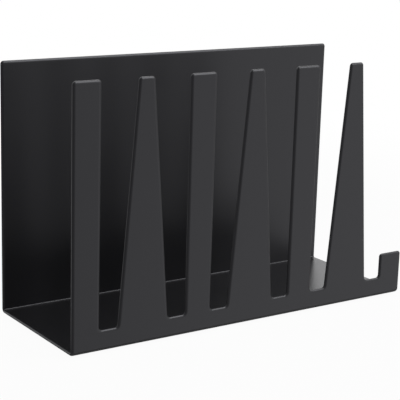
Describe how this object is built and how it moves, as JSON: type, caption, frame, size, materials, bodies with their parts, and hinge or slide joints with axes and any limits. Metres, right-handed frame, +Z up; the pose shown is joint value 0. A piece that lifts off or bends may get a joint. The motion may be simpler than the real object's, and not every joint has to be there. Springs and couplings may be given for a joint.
{
  "type": "mail organizer",
  "caption": "Desk letter holder folded from one black coated steel sheet: plain tall back wall, flat floor and an open front wall of straight posts and tapered fins, on small rubber pads.",
  "frame": {"origin": "on the table, under the middle of the part's box", "axes": "+X to the right along the walls, +Y from the front wall to the back wall, +Z up"},
  "size_m": [0.24, 0.088, 0.154],
  "materials": {
    "black_powder_coat": "satin black powder coat with a fine, even grain, on steel sheet",
    "pad_rubber": "matt black rubber",
    "pad_adhesive": "thin cloudy adhesive film"
  },
  "bodies": {
    "root": {"folded_sheet": "black_powder_coat", "pad_front_left": "pad_rubber", "pad_front_right": "pad_rubber", "pad_rear_left": "pad_rubber", "pad_rear_right": "pad_rubber", "pad_adhesive_front_left": "pad_adhesive", "pad_adhesive_front_right": "pad_adhesive", "pad_adhesive_rear_left": "pad_adhesive", "pad_adhesive_rear_right": "pad_adhesive"}
  },
  "joints": []
}
